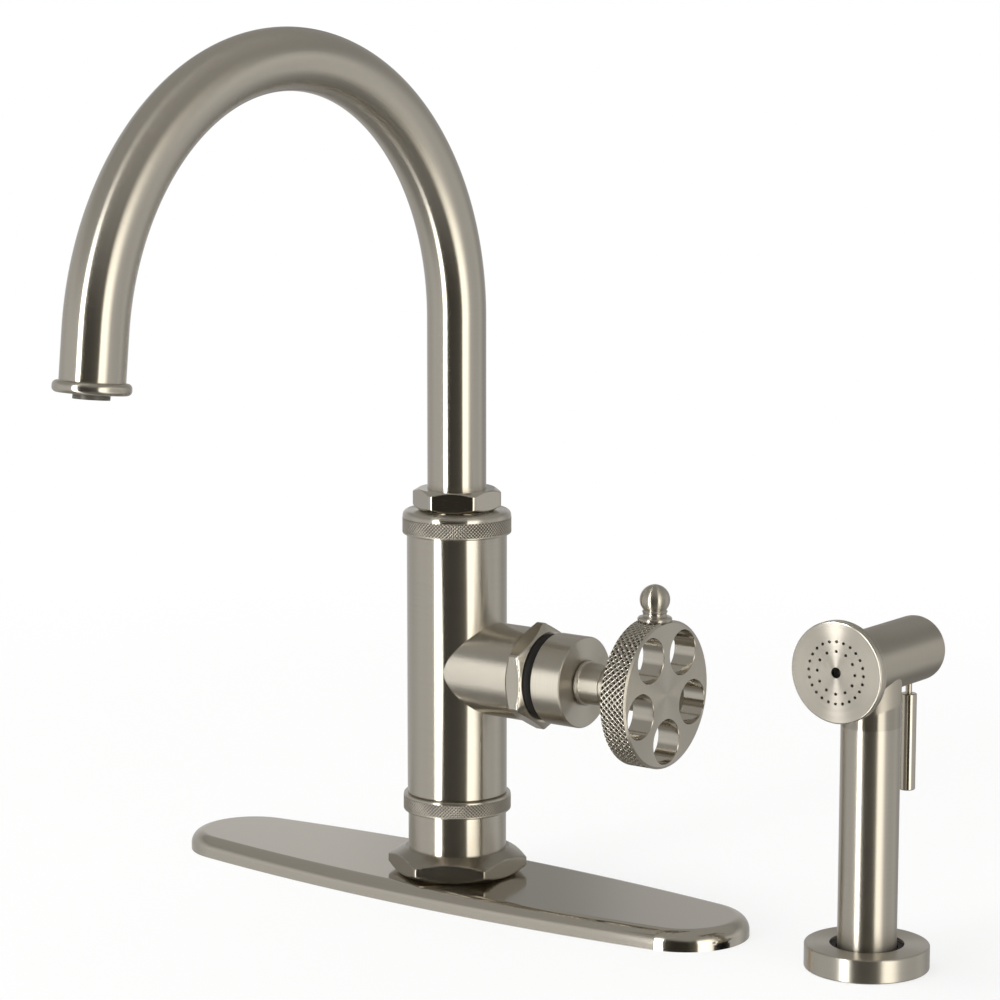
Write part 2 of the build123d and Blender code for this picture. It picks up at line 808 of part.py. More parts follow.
def handle_stem():
    flange_top = hub_front + handle_stem_flange
    groove = hub_front + handle_stem_groove
    groove_top = groove + handle_stem_groove_width
    groove_radius = handle_stem_radius - handle_stem_groove_depth
    stem = turned([
        (0, hub_front - hub_spigot_length), (handle_spigot_radius, hub_front - hub_spigot_length),
        (handle_spigot_radius, hub_front), (handle_stem_flange_radius, hub_front),
        (handle_stem_flange_radius, flange_top - handle_stem_flange_edge), (handle_stem_radius, flange_top),
        (handle_stem_radius, groove), (groove_radius, groove), (groove_radius, groove_top),
        (handle_stem_radius, groove_top), (handle_stem_radius, wheel_back),
        (handle_spigot_radius, wheel_back), (handle_spigot_radius, wheel_back + wheel_spigot_length),
        (0, wheel_back + wheel_spigot_length),
    ])
    return on_branch(stem)


def hand_wheel():
    wheel = turned([
        (0, wheel_back), (wheel_radius - wheel_edge, wheel_back), (wheel_radius, wheel_back + wheel_edge),
        (wheel_radius, wheel_front - wheel_edge), (wheel_radius - wheel_edge, wheel_front), (0, wheel_front),
    ])
    wheel -= pin_circle(wheel_hole_count, wheel_hole_circle, wheel_hole_radius, wheel_back - 1, wheel_front + 1)
    wheel -= rod(handle_spigot_radius + screwed, wheel_back - 1, wheel_back + wheel_spigot_length + screwed)
    wheel = on_branch(wheel)
    seat = wheel_radius - knob_seat
    rim_top = Pos(wheel_middle, 0, branch_height)
    wheel -= rim_top * rod(knob_collar_radius + screwed, seat, wheel_radius + 1)
    wheel -= rim_top * rod(knob_spigot_radius + screwed, seat - knob_spigot_length - screwed, seat + 1)
    return wheel


def ball_knob():
    seat = wheel_radius - knob_seat
    collar_top = seat + knob_collar_height
    knob = rounded_rod(knob_collar_radius, seat, collar_top, 0, knob_collar_round)
    knob += rod(knob_spigot_radius, seat - knob_spigot_length, seat + 1)
    neck_top_height = collar_top + knob_neck_height
    knob += turned([(0, seat + 1), (knob_neck_foot_radius, seat + 1), (knob_neck_foot_radius, collar_top),
                    (knob_neck_radius, neck_top_height), (0, neck_top_height)])
    ball_drop = knob_ball_radius * cos(asin(knob_neck_radius / knob_ball_radius))
    knob += Pos(0, 0, neck_top_height + ball_drop - 0.05) * Sphere(knob_ball_radius)
    return Pos(wheel_middle, 0, branch_height) * knob


# ---- Holder of the side spray -----------------------------------------------------------------
def holder_flange():
    body = rounded_rod(holder_radius, 0, holder_height, holder_edge, holder_edge)
    body -= rod(holder_shank_radius + screwed, -1, holder_height + 1)
    recess = ring(holder_gasket_outer + screwed, holder_gasket_inner - screwed, -1, holder_gasket_height)
    return at_spray(body - recess)


def holder_gasket():
    return at_spray(ring(holder_gasket_outer, holder_gasket_inner, 0, holder_gasket_height))


def holder_shank():
    bore = holder_shank_radius - holder_shank_wall
    return at_spray(ring(holder_shank_radius, bore, -holder_shank_drop, holder_shank_rise))


def holder_liner():
    outer = holder_shank_radius - holder_shank_wall - screwed
    liner = ring(outer, wand_radius + loose, -liner_depth, liner_rise)
    return at_spray(liner + ring(outer, liner_ledge_bore, -liner_depth, -liner_depth + liner_ledge))


def holder_washer():
    top = -deck_thickness
    return at_spray(ring(holder_washer_radius, holder_shank_radius + loose, top - holder_washer_height, top))


def holder_nut():
    top = -deck_thickness - holder_washer_height
    foot = top - holder_nut_height
    land = holder_nut_flats / 2 - 0.3
    nut = hexagon(holder_nut_flats, foot, top, land, land, 0)
    return at_spray(nut - rod(holder_shank_radius + screwed, foot - 1, top + 1))


# ---- Wand -------------------------------------------------------------------------------------
def wand_tube():
    return at_spray(ring(wand_radius, wand_bore, wand_foot, seam_height))


def hose_connector():
    body = rod(wand_bore - screwed, wand_foot, connector_end)
    body -= rod(hose_socket_radius, wand_foot - 1, wand_foot + hose_socket_depth)
    body -= rod(hose_passage, wand_foot, connector_end + 1)
    tube_socket = rod(inner_tube_radius + screwed, connector_end - inner_tube_socket, connector_end + 1)
    return at_spray(body - tube_socket)


def check_valve():
    foot = connector_end - inner_tube_socket
    body = rod(inner_tube_radius, foot, foot + check_valve_height)
    top = foot + check_valve_height
    return at_spray(body - pin_circle(check_valve_ports, check_valve_circle, check_valve_port, foot - 1, top + 1))


def inner_tube():
    foot = connector_end - inner_tube_socket + check_valve_height
    top = head_height - head_bore - 1.0
    return at_spray(ring(inner_tube_radius, inner_tube_radius - inner_tube_wall, foot, top))


def spray_head():
    flange_front = -face_reach + face_thickness
    flange_back = flange_front + head_flange
    flare_back = flange_back + head_flare_length
    front = rounded_rod(face_radius, flange_front, flange_back, 0, head_flange_round)
    flare_end = (head_radius, 0, flare_back)
    flare_arc = TangentArc(flare_end, (head_flare_radius, 0, flange_back), tangent=(0, 0, -1))
    flare_rest = Polyline([(head_flare_radius, 0, flange_back), (0, 0, flange_back), (0, 0, flare_back), flare_end])
    barrel = front + revolve(make_face([flare_arc, flare_rest]), Axis.Z)
    barrel += rod(head_radius, flange_back, cap_seam_reach)
    head = on_head(barrel)
    head += at_spray(rod(wand_radius, seam_height, head_height))
    head += at_spray(rod(wand_bore - screwed, seam_height - neck_spigot_length, seam_height + 1))
    head -= on_head(rod(head_bore, flange_front - 1, cap_seam_reach + 1))
    recess_floor = flange_front + face_skirt_length + face_seal_height
    head -= on_head(rod(face_skirt_radius + screwed, flange_front - 1, recess_floor))
    return head - at_spray(rod(inner_tube_radius + screwed, seam_height - neck_spigot_length - 1, head_height))


def spray_face():
    front = -face_reach
    back = front + face_thickness
    face = rounded_rod(face_radius, front, back, face_edge, 0)
    face += ring(face_skirt_radius, face_skirt_radius - face_skirt_wall, back - 0.5, back + face_skirt_length)
    for count, circle in ((outer_jets, outer_jet_circle), (inner_jets, inner_jet_circle)):
        face -= pin_circle(count, circle, jet_radius, front - 1, back + 1)
    return on_head(face - rod(centre_jet_radius, front - 1, back + 1))


def face_seal():
    foot = -face_reach + face_thickness + face_skirt_length
    return on_head(ring(face_skirt_radius, face_skirt_radius - face_skirt_wall, foot, foot + face_seal_height))


def rear_cap():
    cap = rounded_rod(head_radius, cap_seam_reach, cap_back, 0, cap_round)
    cap += rod(head_bore - screwed, spigot_foot, cap_seam_reach + 1)
    cap -= rod(plunger_radius + running, spigot_foot - 1, cap_web_back + 1)
    cap -= rod(cap_cavity, cap_web_back, cap_back - cap_end_wall)
    slot_inner = lever_pivot_drop - lever_barrel_radius - lever_slot_play
    slot_outer = head_radius + 1
    slot_width = lever_barrel_length + 2 * lever_slot_play
    slot_length = 2 * (lever_barrel_radius + lever_swing_room)
    slot = Box(slot_width, slot_outer - slot_inner, slot_length)
    cap -= Pos(0, (slot_inner + slot_outer) / 2, lever_reach) * slot
    pin_hole = Rot(0, 90, 0) * Cylinder(lever_pin_radius + screwed, lever_pin_length + 2 * screwed)
    return on_head(cap - Pos(0, lever_pivot_drop, lever_reach) * pin_hole)


def lever_pin():
    return on_head(Pos(0, lever_pivot_drop, lever_reach) * Rot(0, 90, 0) * Cylinder(lever_pin_radius, lever_pin_length))


# ---- Spray valve and lever --------------------------------------------------------------------
def valve_seat():
    return on_head(ring(head_bore - screwed, seat_hole, -seat_reach, seat_back))


def valve_pad():
    return on_head(rod(pad_radius, pad_foot, plunger_foot))


def valve_plunger():
    plunger = rod(pad_radius, plunger_foot, spring_foot)
    plunger += rod(plunger_radius, plunger_foot, collar_front + plunger_collar)
    return on_head(plunger + rod(plunger_collar_radius, collar_front, collar_front + plunger_collar))


def helix_point(turn, foot, climb):
    """A point of the spring's centre line and the direction of the wire there."""
    angle = 2 * pi * turn
    point = Vector(spring_radius * cos(angle), spring_radius * sin(angle), foot + climb * turn)
    heading = Vector(-2 * pi * spring_radius * sin(angle), 2 * pi * spring_radius * cos(angle), climb)
    return point, heading.normalized()


def biarc(start, start_heading, end, end_heading):
    """Two tangent arcs that join two points in the given directions."""
    span = end - start
    both = start_heading + end_heading
    spread = 2 * (1 - start_heading.dot(end_heading))
    lean = span.dot(both)
    reach = (-lean + sqrt(lean * lean + spread * span.dot(span))) / spread
    middle = (start + end + (start_heading - end_heading) * reach) * 0.5
    first = TangentArc(start, middle, tangent=start_heading)
    second = TangentArc(middle, end, tangent=first % 1)
    return [first, second]


def valve_spring():
    """A round wire spring round the plunger, wound in quarter turns."""
    low = spring_foot + spring_wire + 0.05
    climb = (spigot_foot - spring_foot - 2 * spring_wire - 0.1) / spring_turns
    edges = []
    steps = 4 * spring_turns
    for step in range(steps):
        start, start_heading = helix_point(step / 4, low, climb)
        end, end_heading = helix_point((step + 1) / 4, low, climb)
        edges += biarc(start, start_heading, end, end_heading)
    print("valve spring: least gap between turns", round(climb - 2 * spring_wire, 2))
    wire = Wire(edges)
    start, heading = helix_point(0, low, climb)
    section = Plane(origin=start, z_dir=heading) * Circle(spring_wire)
    return on_head(sweep(section, path=wire))


def spray_lever():
    rod_top = head_radius + lever_neck_length
    bar = rounded_rod(lever_rod_radius, -rod_top - lever_rod_length, -rod_top, lever_rod_round, lever_rod_round)
    bar += rod(lever_neck_radius, -rod_top - 1, -lever_pivot_drop)
    barrel = Pos(0, 0, -lever_pivot_drop) * Rot(0, 90, 0) * Cylinder(lever_barrel_radius, lever_barrel_length)
    foot_height = lever_pivot_drop - finger_foot + 1
    foot = Box(finger_thickness, finger_thickness, foot_height)
    finger_height = finger_foot + finger_rise
    finger = Pos(0, 0, finger_rise - finger_height / 2) * Box(finger_width, finger_thickness, finger_height)
    fork_foot = -plunger_radius - fork_play
    fork = Box(2 * (plunger_radius + fork_play), 2 * finger_thickness, finger_rise - fork_foot + 1)
    finger -= Pos(0, 0, (fork_foot + finger_rise + 1) / 2) * fork
    bar += [barrel, Pos(0, 0, foot_height / 2 - lever_pivot_drop) * foot, finger]
    bore = Rot(0, 90, 0) * Cylinder(lever_pin_radius + lever_pin_clearance, lever_barrel_length + 2)
    bar -= Pos(0, 0, -lever_pivot_drop) * bore
    return at_spray(Pos(0, lever_reach, head_height) * bar)


# ---- Write every sub-part ---------------------------------------------------------------------
pieces = [
    deck_plate, plate_gasket, mounting_shank, rubber_washer, steel_washer, mounting_nut, base_hex_flange,
    flange_seal, lower_sleeve, lower_knurled_ring, hose_manifold, valve_body, diverter_sleeve, diverter_piston,
    upper_knurled_ring, spout_hex_nut, spout_tube, spout_connector, spout_o_rings, split_ring, outlet_ring,
    aerator_body, aerator_screen, bonnet_hex_nut, dust_cover, cartridge_seals, cartridge_base, fixed_disc,
    moving_disc, disc_carrier, cartridge_housing, cartridge_nut, cartridge_turret, stem_pin, cartridge_stem,
    handle_hub, set_screw, handle_stem, hand_wheel, ball_knob, holder_flange, holder_gasket, holder_shank,
    holder_liner, holder_washer, holder_nut, wand_tube, hose_connector, check_valve, inner_tube, spray_head,
    spray_face, face_seal, rear_cap, lever_pin, valve_seat, valve_pad, valve_plunger, valve_spring, spray_lever,
]
for piece in pieces:
    save(piece.__name__, piece())
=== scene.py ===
from math import atan, cos, exp, log, pi, radians, sin, sqrt, tan

import bpy
from mathutils import Matrix, Vector
from mathutils.geometry import tessellate_polygon


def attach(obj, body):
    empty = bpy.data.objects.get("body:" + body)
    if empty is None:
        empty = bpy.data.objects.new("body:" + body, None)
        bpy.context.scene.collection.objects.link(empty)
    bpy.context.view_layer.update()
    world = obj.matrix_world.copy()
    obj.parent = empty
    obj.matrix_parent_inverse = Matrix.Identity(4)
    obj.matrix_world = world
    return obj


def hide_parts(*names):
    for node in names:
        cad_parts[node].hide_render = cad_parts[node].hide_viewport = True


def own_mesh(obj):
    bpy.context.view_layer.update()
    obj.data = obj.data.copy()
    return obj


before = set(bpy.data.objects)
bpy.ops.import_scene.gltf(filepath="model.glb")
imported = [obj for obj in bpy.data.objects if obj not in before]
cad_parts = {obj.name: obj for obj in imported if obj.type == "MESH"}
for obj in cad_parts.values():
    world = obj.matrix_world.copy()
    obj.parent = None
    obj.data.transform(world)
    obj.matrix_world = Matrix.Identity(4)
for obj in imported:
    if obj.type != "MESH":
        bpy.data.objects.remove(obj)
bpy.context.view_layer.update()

mm = 0.001

# ---- Sizes that the visual pieces share with the solids ----------------------------------------
branch_height = 87.25 * mm
wheel_middle = 89.5 * mm
spray_centre = Vector((177 * mm, 4.5 * mm, 0))
head_height = 109 * mm

# ---- Camera at the photograph's angle ----------------------------------------------------------
camera_right = Vector((0.802107, 0.597181, 0.000610))
camera_up = Vector((-0.093234, 0.124219, 0.987865))
camera_back = Vector((0.589858, -0.792430, 0.155315))
camera_place = Vector((0.754085, -0.986066, 0.344491))
camera_data = bpy.data.cameras.new("camera")
camera_data.lens = 121.05
camera_data.sensor_width = 36.0
camera_data.clip_start = 0.01
camera = bpy.data.objects.new("camera", camera_data)
axes = Matrix((camera_right, camera_up, camera_back)).transposed().to_4x4()
camera.matrix_world = Matrix.Translation(camera_place) @ axes
bpy.context.scene.collection.objects.link(camera)
bpy.context.scene.camera = camera


# ---- Material helpers --------------------------------------------------------------------------
def linear(code):
    """An sRGB hex colour as linear RGBA."""
    parts = [int(code[place:place + 2], 16) / 255 for place in (1, 3, 5)]
    return [part / 12.92 if part <= 0.04045 else ((part + 0.055) / 1.055) ** 2.4 for part in parts] + [1]


def add(tree, kind, settings=None, inputs=None, stops=()):
    """Add one node with its settings, its inputs, each a value or another node's output, and a
    colour ramp's stops, each a spot from zero to one and its colour."""
    node = tree.nodes.new(kind)
    for name, value in (settings or {}).items():
        setattr(node, name, value)
    for name, value in (inputs or {}).items():
        if isinstance(value, bpy.types.NodeSocket):
            tree.links.new(value, node.inputs[name])
        else:
            node.inputs[name].default_value = value
    for index, (spot, colour) in enumerate(stops):
        elements = node.color_ramp.elements
        element = elements[index] if index < 2 else elements.new(spot)
        element.position = spot
        element.color = [*colour, 1]
    return node


def new_material(name):
    """An empty node material and its surface socket."""
    material = bpy.data.materials.new(name)
    material.use_nodes = True
    material.node_tree.nodes.clear()
    surface = material.node_tree.nodes.new("ShaderNodeOutputMaterial").inputs["Surface"]
    return material, material.node_tree, surface


def turning(tree, place, axis, centre):
    """How a piece was turned about an axis: the direction of its brush lines, the coordinates that
    stay the same along a line, and the distance from the axis."""
    arm = add(tree, "ShaderNodeVectorMath", {"operation": "SUBTRACT"}, {0: place, 1: centre}).outputs[0]
    around = add(tree, "ShaderNodeVectorMath", {"operation": "CROSS_PRODUCT"}, {0: axis, 1: arm}).outputs[0]
    reach = add(tree, "ShaderNodeVectorMath", {"operation": "LENGTH"}, {0: around}).outputs["Value"]
    along = add(tree, "ShaderNodeVectorMath", {"operation": "DOT_PRODUCT"},
                {0: axis, 1: arm}).outputs["Value"]
    lines = add(tree, "ShaderNodeCombineXYZ", {}, {"X": reach, "Y": along}).outputs[0]
    return around, lines, reach


nickel = "#c1bbaf"
# The settings that make a piece's own direction a world direction, so that it follows every pose.
to_world = {"vector_type": "VECTOR", "convert_from": "OBJECT", "convert_to": "WORLD"}


def satin_surface(tree, surface, tangent, lines, place, roughness, spread=1.0, turn=0.25, tint=nickel):
    """Plated metal that was brushed along one direction. What it mirrors smears across the brush
    lines and keeps sharp edges along them, under a faint grain of fine parallel scratches. Spread is
    how much more it smears one way, and turn is the share of a turn from the tangent to that way."""
    # Real scratches are about 0.05 mm apart. They are drawn 0.35 mm apart, so that they just show.
    scratch_spacing, drift_length = 0.35 * mm, 25 * mm
    rough_swing, tone_swing = 0.007, 0.025
    fine = add(tree, "ShaderNodeVectorMath", {"operation": "SCALE"},
               {0: lines, "Scale": 1 / scratch_spacing}).outputs[0]
    drift = add(tree, "ShaderNodeVectorMath", {"operation": "SCALE"},
                {0: place, "Scale": 1 / drift_length}).outputs[0]
    where = add(tree, "ShaderNodeVectorMath", {"operation": "ADD"}, {0: fine, 1: drift}).outputs[0]
    scratches = add(tree, "ShaderNodeTexNoise", {},
                    {"Vector": where, "Scale": 1.0, "Detail": 2.0}).outputs["Fac"]
    middling = {"Value": scratches, "From Min": 0.3, "From Max": 0.7}
    rough = add(tree, "ShaderNodeMapRange", {}, middling | {
        "To Min": roughness - rough_swing, "To Max": roughness + rough_swing}).outputs[0]
    tone = add(tree, "ShaderNodeMapRange", {}, middling | {
        "To Min": 0.5 - tone_swing, "To Max": 0.5 + tone_swing}).outputs[0]
    colour = add(tree, "ShaderNodeMix", {"data_type": "RGBA", "blend_type": "OVERLAY"},
                 {"Factor": 0.5, 6: linear(tint), 7: tone}).outputs[2]
    shader = add(tree, "ShaderNodeBsdfPrincipled", {}, {
        "Base Color": colour, "Metallic": 1.0, "Roughness": rough, "Anisotropic": spread,
        "Anisotropic Rotation": turn, "Tangent": tangent})
    tree.links.new(shader.outputs[0], surface)


def turned_nickel(name, axis, centre, roughness=0.24, spread=1.0, neck=None, tint=nickel):
    """Satin nickel plate, brushed while the piece turned: the lines run round its axis. A piece with
    two axes gives the second one as its neck, beyond a radius round the first."""
    material, tree, surface = new_material(name)
    place = add(tree, "ShaderNodeTexCoord").outputs["Object"]
    brush, lines, reach = turning(tree, place, axis, centre)
    if neck:
        neck_axis, neck_centre, radius = neck
        neck_brush, neck_lines, _ = turning(tree, place, neck_axis, neck_centre)
        beyond = add(tree, "ShaderNodeMath", {"operation": "GREATER_THAN"},
                     {0: reach, 1: radius}).outputs[0]
        brush = add(tree, "ShaderNodeMix", {"data_type": "VECTOR"},
                    {"Factor": beyond, 4: brush, 5: neck_brush}).outputs[1]
        lines = add(tree, "ShaderNodeMix", {"data_type": "VECTOR"},
                    {"Factor": beyond, 4: lines, 5: neck_lines}).outputs[1]
    tangent = add(tree, "ShaderNodeVectorTransform", to_world, {"Vector": brush}).outputs[0]
    satin_surface(tree, surface, tangent, lines, place, roughness, spread, tint=tint)
    return material


def plate_satin(name, roughness, spread):
    """Satin nickel plate on the pressed deck plate, brushed along its length and closer to a mirror."""
    material, tree, surface = new_material(name)
    place = add(tree, "ShaderNodeTexCoord").outputs["Object"]
    lines = add(tree, "ShaderNodeVectorMath", {"operation": "MULTIPLY"},
                {0: place, 1: (0, 1, 1)}).outputs[0]
    tangent = add(tree, "ShaderNodeVectorTransform", to_world, {"Vector": right}).outputs[0]
    satin_surface(tree, surface, tangent, lines, place, roughness, spread)
    return material


def swept_satin(name, roughness):
    """Satin nickel plate on the bent tube: its map runs along the tube, and the lines round it."""
    material, tree, surface = new_material(name)
    chart = add(tree, "ShaderNodeTexCoord").outputs["UV"]
    lines = add(tree, "ShaderNodeVectorMath", {"operation": "MULTIPLY"},
                {0: chart, 1: (1, 0, 0)}).outputs[0]
    along = add(tree, "ShaderNodeTangent", {"direction_type": "UV_MAP", "uv_map": "chart"}).outputs[0]
    satin_surface(tree, surface, along, lines, chart, roughness, turn=0.0)
    return material


def knurled_nickel(name, axis, centre, deep, crest):
    """Satin nickel plate on a rolled knurl. Its crests, at one radius, keep the nickel and shine,
    and the bottoms of its grooves, at the other radius, get a near-black painted shade."""
    # The groove colour is painted shade, for the shade that falls in the bottoms of the grooves.
    painted_groove_shade, groove_roughness, crest_roughness = "#15120e", 0.5, 0.24
    material, tree, surface = new_material(name)
    place = add(tree, "ShaderNodeTexCoord").outputs["Object"]
    reach = turning(tree, place, axis, centre)[2]
    shade_to_crest_share = add(tree, "ShaderNodeMapRange", {},
               {"Value": reach, "From Min": deep, "From Max": crest}).outputs[0]
    tint = add(tree, "ShaderNodeMix", {"data_type": "RGBA"},
               {"Factor": shade_to_crest_share, 6: linear(painted_groove_shade), 7: linear(nickel)}).outputs[2]
    rough = add(tree, "ShaderNodeMapRange", {},
                {"Value": shade_to_crest_share, "To Min": groove_roughness, "To Max": crest_roughness}).outputs[0]
    shader = add(tree, "ShaderNodeBsdfPrincipled", {},
                 {"Base Color": tint, "Metallic": 1.0, "Roughness": rough})
    tree.links.new(shader.outputs[0], surface)
    return material


def grained(name, roughness, spacing, detail, swing, strength, depth, finish):
    """A surface with a fine grain that has no direction: its roughness swings to both sides with the
    grain, and a shallow relief follows it. Spacing is the distance between two marks."""
    material, tree, surface = new_material(name)
    place = add(tree, "ShaderNodeTexCoord").outputs["Object"]
    grain = add(tree, "ShaderNodeTexNoise", {},
                {"Vector": place, "Scale": 1 / spacing, "Detail": detail}).outputs["Fac"]
    rough = add(tree, "ShaderNodeMapRange", {},
                {"Value": grain, "To Min": roughness - swing, "To Max": roughness + swing}).outputs[0]
    relief = add(tree, "ShaderNodeBump", {},
                 {"Height": grain, "Strength": strength, "Distance": depth}).outputs[0]
    shader = add(tree, "ShaderNodeBsdfPrincipled", {}, finish | {"Roughness": rough, "Normal": relief})
    tree.links.new(shader.outputs[0], surface)
    return material


def plain_metal(name, colour, roughness, spacing):
    """Machined metal with faint tool marks."""
    finish = {"Base Color": linear(colour), "Metallic": 1.0}
    return grained(name, roughness, spacing, detail=3.0, swing=0.05, strength=0.2, depth=0.01 * mm,
                   finish=finish)


def moulded(name, colour, roughness, spacing, depth):
    """Moulded plastic, rubber or pressed ceramic with a fine even grain."""
    finish = {"Base Color": linear(colour), "IOR": 1.5}
    return grained(name, roughness, spacing, detail=2.0, swing=0.06, strength=0.3, depth=depth,
                   finish=finish)


# ---- Materials ---------------------------------------------------------------------------------
up, right, back = (0, 0, 1), (1, 0, 0), (0, 1, 0)
column_centre = (0, 0, 0)
branch_centre = (0, 0, branch_height)
head_centre = (spray_centre.x, 0, head_height)
lever_centre = (spray_centre.x, spray_centre.y + 26 * mm, 0)
# Just past these radii the brush lines change over to the neck's axis.
column_reach, barrel_reach = 18.8 * mm, 18 * mm

# Cast or turned metal under satin nickel plate, brushed round the column. It gives the eye warm grey
# sides with two tall lights, whose edges are sharp and straight.
column_nickel = turned_nickel("satin_nickel_turned_upright", up, column_centre)
# The same, and round the branch as well, whose lights lie along it.
body_nickel = turned_nickel("satin_nickel_column_and_branch", up, column_centre,
                            neck=(right, branch_centre, column_reach))
# Brushed more coarsely round the branch's axis: broad soft lights along the hub and the stem.
branch_nickel = turned_nickel("satin_nickel_turned_on_branch", right, branch_centre, 0.29)
# The same round the knob: a soft upright light on the ball.
knob_nickel = turned_nickel("satin_nickel_turned_knob", up, (wheel_middle, 0, 0), 0.32)
# Brushed round the wand: the column's lights again, with softer edges.
wand_nickel = turned_nickel("satin_nickel_turned_wand", up, tuple(spray_centre), 0.34, 0.9)
# Brushed finely round the lever: narrow clear lights down its rod.
lever_nickel = turned_nickel("satin_nickel_turned_lever", up, lever_centre, 0.16)
# Brushed round the spray head's barrel and round its neck: a darker grey with broad soft lights.
head_nickel = turned_nickel("satin_nickel_spray_head", back, head_centre, 0.30,
                            neck=(up, tuple(spray_centre), barrel_reach), tint="#b5afa3")
# Turned finely across the spray face: bright fans that spread upwards and downwards from its middle.
face_nickel = turned_nickel("satin_nickel_spray_face", back, head_centre, 0.15, 0.85)
# Brushed round the base nut, dull on the cone and clearer on the flats. Its darker grey tint is painted
# shade.
base_nickel = turned_nickel("satin_nickel_base_nut", up, column_centre, 0.26, 0.5, tint="#a39d91")
# Brushed lightly on the other two nuts: each flat mirrors one even tone, with a crisp edge.
nut_nickel = turned_nickel("satin_nickel_spout_nut", up, column_centre, 0.12, 0.5)
bonnet_nickel = turned_nickel("satin_nickel_bonnet_nut", right, branch_centre, 0.17, 0.6)
# Brushed lightly along the deck plate: nearly a mirror, in which the base nut and the column show.
plate_nickel = plate_satin("satin_nickel_pressed_plate", 0.13, 0.7)
# Brushed round the bent tube: lights that follow its bend.
spout_nickel = swept_satin("satin_nickel_bent_tube", 0.24)
# Bored after brushing: the walls of the wheel's holes are clean and bright.
bored_nickel = plain_metal("satin_nickel_bored_holes", nickel, 0.12, 0.5 * mm)
# Rolled knurls: bright crests over grooves in painted shade. The radii are those of the grooves and the
# crests.
wheel_knurl = knurled_nickel("satin_nickel_wheel_knurl", right, branch_centre, 26.45 * mm, 26.85 * mm)
lower_knurl = knurled_nickel("satin_nickel_lower_knurl", up, column_centre, 20.09 * mm, 20.27 * mm)
upper_knurl = knurled_nickel("satin_nickel_upper_knurl", up, column_centre, 20.16 * mm, 20.36 * mm)

# The marks on the next materials are 0.01 to 0.2 mm apart in reality. They are drawn 0.1 to 0.4 mm
# apart, and those in the wheel's holes 0.5 mm, so that they show.
# Turned and left bare: a neutral grey and a yellow metal, both with a dull sheen.
stainless = plain_metal("stainless_steel_machined", "#b9bbbc", 0.3, 0.3 * mm)
brass = plain_metal("brass_machined", "#c9a76a", 0.35, 0.3 * mm)
# Moulded plastics: soft lights on grey and white acetal, and hardly any on the grained black ABS.
grey_plastic = moulded("acetal_grey_moulded", "#5a564d", 0.35, 0.25 * mm, 0.005 * mm)
black_plastic = moulded("abs_black_moulded", "#120f0c", 0.65, 0.25 * mm, 0.01 * mm)
white_plastic = moulded("acetal_white_moulded", "#dcdad3", 0.4, 0.25 * mm, 0.005 * mm)
# Pressed, fired and lapped: a creamy white that shines.
ceramic = moulded("alumina_ceramic_lapped", "#e9e6dc", 0.15, 0.1 * mm, 0.001 * mm)
# Moulded and matt: nearly black, without lights.
rubber = moulded("nitrile_rubber_moulded", "#1b1a1a", 0.7, 0.4 * mm, 0.02 * mm)

# The finish of each solid. A piece that stands in for a solid brings its own.
dress = {
    body_nickel: ["valve_body"],
    base_nickel: ["base_hex_flange"],
    nut_nickel: ["spout_hex_nut"],
    bonnet_nickel: ["bonnet_hex_nut"],
    column_nickel: ["lower_sleeve", "lower_knurled_ring", "upper_knurled_ring", "spout_tube",
                    "outlet_ring"],
    branch_nickel: ["handle_hub", "handle_stem", "hand_wheel"],
    knob_nickel: ["ball_knob"],
    wand_nickel: ["holder_flange", "wand_tube"],
    lever_nickel: ["spray_lever"],
    head_nickel: ["spray_head", "rear_cap"],
    face_nickel: ["spray_face"],
    plate_nickel: ["deck_plate"],
    stainless: ["steel_washer", "aerator_screen", "stem_pin", "cartridge_stem", "set_screw", "lever_pin",
                "valve_plunger", "valve_spring"],
    brass: ["mounting_shank", "mounting_nut", "hose_manifold", "spout_connector", "cartridge_nut",
            "hose_connector"],
    grey_plastic: ["aerator_body"],
    # The dust cover's black is partly painted shade, for the shaded gap between the bonnet nut and the hub.
    black_plastic: ["dust_cover", "holder_shank", "holder_liner", "holder_nut", "diverter_piston"],
    white_plastic: ["diverter_sleeve", "split_ring", "cartridge_base", "disc_carrier", "cartridge_housing",
                    "cartridge_turret", "check_valve", "inner_tube", "valve_seat"],
    ceramic: ["fixed_disc", "moving_disc"],
    rubber: ["plate_gasket", "rubber_washer", "flange_seal", "spout_o_rings", "cartridge_seals",
             "holder_gasket", "holder_washer", "face_seal", "valve_pad"],
}
for material, nodes in dress.items():
    for node in nodes:
        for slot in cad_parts[node].material_slots:
            slot.material = material


# ---- Mesh helpers ------------------------------------------------------------------------------
upright = Matrix.Identity(4)
on_branch = Matrix(((0, 0, 1, 0), (0, 1, 0, 0), (-1, 0, 0, branch_height), (0, 0, 0, 1)))


def new_piece(name, points, faces, materials, face_slots=None, crease=20):
    """A smooth mesh whose edges stay sharp beyond an angle, in degrees."""
    mesh = bpy.data.meshes.new(name)
    mesh.from_pydata([tuple(point) for point in points], [], faces)
    for material in materials:
        mesh.materials.append(material)
    if face_slots:
        mesh.polygons.foreach_set("material_index", face_slots)
    mesh.polygons.foreach_set("use_smooth", [True] * len(faces))
    mesh.set_sharp_from_angle(angle=radians(crease))
    piece = bpy.data.objects.new(name, mesh)
    bpy.context.scene.collection.objects.link(piece)
    normals = piece.modifiers.new("flat faces stay flat", "WEIGHTED_NORMAL")
    normals.keep_sharp = True
    return piece


def stand_in(piece, body, node):
    """The piece takes a solid's place in the picture."""
    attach(piece, body)
    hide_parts(node)


